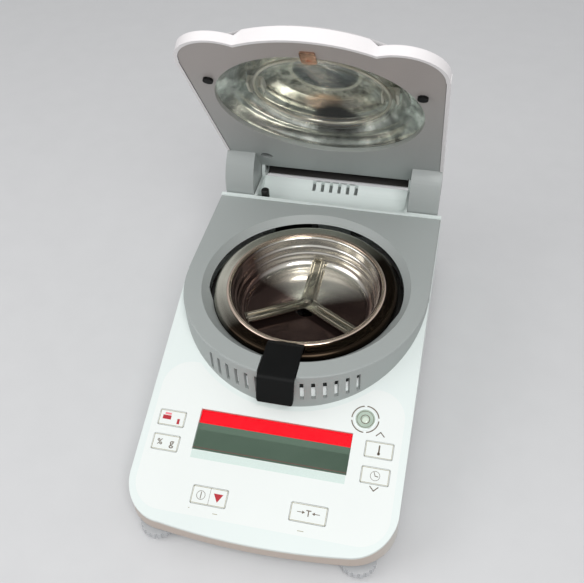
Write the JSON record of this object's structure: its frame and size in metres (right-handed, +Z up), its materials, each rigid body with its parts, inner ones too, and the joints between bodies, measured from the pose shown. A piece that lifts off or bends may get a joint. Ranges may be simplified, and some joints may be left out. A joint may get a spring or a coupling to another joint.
{
  "type": "moisture analyzer",
  "caption": "Bench moisture analyzer: sloping keypad and display, round heated sample chamber with vent slots and pan handler, and a hinged hood with reflector and ring lamp.",
  "frame": {"origin": "on the bench plane under the middle of the housing, midway between its sides and between its front and back", "axes": "+X to the instrument's right seen from the front, +Y to the back, +Z up"},
  "size_m": [0.165, 0.3035, 0.2523],
  "materials": {
    "white_shell": "satin white moulding",
    "grey_shell": "fine matte grey moulding",
    "tray_plastic": "matte",
    "bright_steel": "spun mirror finish",
    "satin_steel": "satin",
    "black_plastic": "fine grain",
    "dark_basin": "black enamel",
    "overlay_film": "printed film",
    "key_film": "printed film",
    "window_clear": "clear acrylic",
    "stripe_red": "printed",
    "display_grey": "grey-green display",
    "board_green": "circuit board",
    "aluminium_cell": "machined",
    "vial_clear": "tinted liquid",
    "bubble_air": "air bubble",
    "foot_clear": "translucent grey",
    "black_rubber": "matte",
    "lamp_glass": "quartz tube",
    "ceramic": "glazed ceramic",
    "bronze": "sintered bronze"
  },
  "bodies": {
    "base": {"base_tray": "tray_plastic", "upper_housing": "white_shell", "chamber_collar": "grey_shell", "vent_baffle": "white_shell", "chamber_basin": "dark_basin", "draft_shield": "bright_steel", "pan_handler_ring": "satin_steel", "pan_handler_grip": "black_plastic", "panel_overlay": "overlay_film", "display_window": "window_clear", "display_stripe": "stripe_red", "display_module": "display_grey", "keypad_board": "board_green", "main_board": "board_green", "power_supply": "board_green", "load_cell": "aluminium_cell", "load_cell_block": "satin_steel", "load_cell_screws": "satin_steel", "level_bezel": "grey_shell", "level_vial": "vial_clear", "level_bubble": "bubble_air", "rear_feet": "black_rubber", "tray_screws": "satin_steel", "power_inlet": "black_plastic", "inlet_pins": "satin_steel", "data_socket": "satin_steel", "hinge_cheeks": "white_shell", "hinge_pins": "satin_steel"},
    "weighing_shaft": {"pan_support": "bright_steel", "pan_shaft": "satin_steel"},
    "hood": {"hood_shell": "white_shell", "hood_liner": "grey_shell", "reflector": "bright_steel", "guard_glass": "window_clear", "halogen_lamp": "lamp_glass", "lamp_sockets": "ceramic", "hood_bumpers": "black_rubber", "temperature_sensor": "satin_steel", "hinge_bushes": "bronze", "vent_cap": "white_shell"},
    "print_key": {"print_key": "key_film"},
    "percent_key": {"percent_key": "key_film"},
    "temperature_key": {"temperature_key": "key_film"},
    "time_key": {"time_key": "key_film"},
    "power_key": {"power_key": "key_film"},
    "tare_key": {"tare_key": "key_film"},
    "hood_switch_plunger": {"hood_switch_plunger": "black_plastic"},
    "front_foot_left": {"front_foot_left": "foot_clear"},
    "front_foot_right": {"front_foot_right": "foot_clear"},
    "fuse_drawer": {"fuse_drawer": "black_plastic"}
  },
  "joints": [
    {"name": "hood_hinge", "type": "hinge", "parent": "base", "child": "hood", "pos_m": [0, 0.1399, 0.081], "axis": [1, 0, 0], "range_deg": [0, 57]},
    {"name": "weighing_travel", "type": "slide", "parent": "base", "child": "weighing_shaft", "axis": [0, 0, 1], "range_m": [-0.0004, 0], "stiffness_N_per_m": 20000},
    {"name": "hood_switch_press", "type": "slide", "parent": "base", "child": "hood_switch_plunger", "axis": [0, 0, 1], "range_m": [-0.002, 0], "stiffness_N_per_m": 300},
    {"name": "front_left_levelling", "type": "hinge", "parent": "base", "child": "front_foot_left", "pos_m": [-0.062, -0.128, 0.005], "axis": [0, 0, 1], "continuous": true},
    {"name": "front_right_levelling", "type": "hinge", "parent": "base", "child": "front_foot_right", "pos_m": [0.062, -0.128, 0.005], "axis": [0, 0, 1], "continuous": true},
    {"name": "fuse_drawer_slide", "type": "slide", "parent": "base", "child": "fuse_drawer", "axis": [0, 1, 0], "range_m": [0, 0.012]},
    {"name": "print_key_press", "type": "slide", "parent": "base", "child": "print_key", "axis": [0, -0.3249, 0.9457], "range_m": [-0.0005, 0], "stiffness_N_per_m": 800},
    {"name": "percent_key_press", "type": "slide", "parent": "base", "child": "percent_key", "axis": [0, -0.3249, 0.9457], "range_m": [-0.0005, 0], "stiffness_N_per_m": 800},
    {"name": "temperature_key_press", "type": "slide", "parent": "base", "child": "temperature_key", "axis": [0, -0.3249, 0.9457], "range_m": [-0.0005, 0], "stiffness_N_per_m": 800},
    {"name": "time_key_press", "type": "slide", "parent": "base", "child": "time_key", "axis": [0, -0.3249, 0.9457], "range_m": [-0.0005, 0], "stiffness_N_per_m": 800},
    {"name": "power_key_press", "type": "slide", "parent": "base", "child": "power_key", "axis": [0, -0.3249, 0.9457], "range_m": [-0.0005, 0], "stiffness_N_per_m": 800},
    {"name": "tare_key_press", "type": "slide", "parent": "base", "child": "tare_key", "axis": [0, -0.3249, 0.9457], "range_m": [-0.0005, 0], "stiffness_N_per_m": 800}
  ]
}
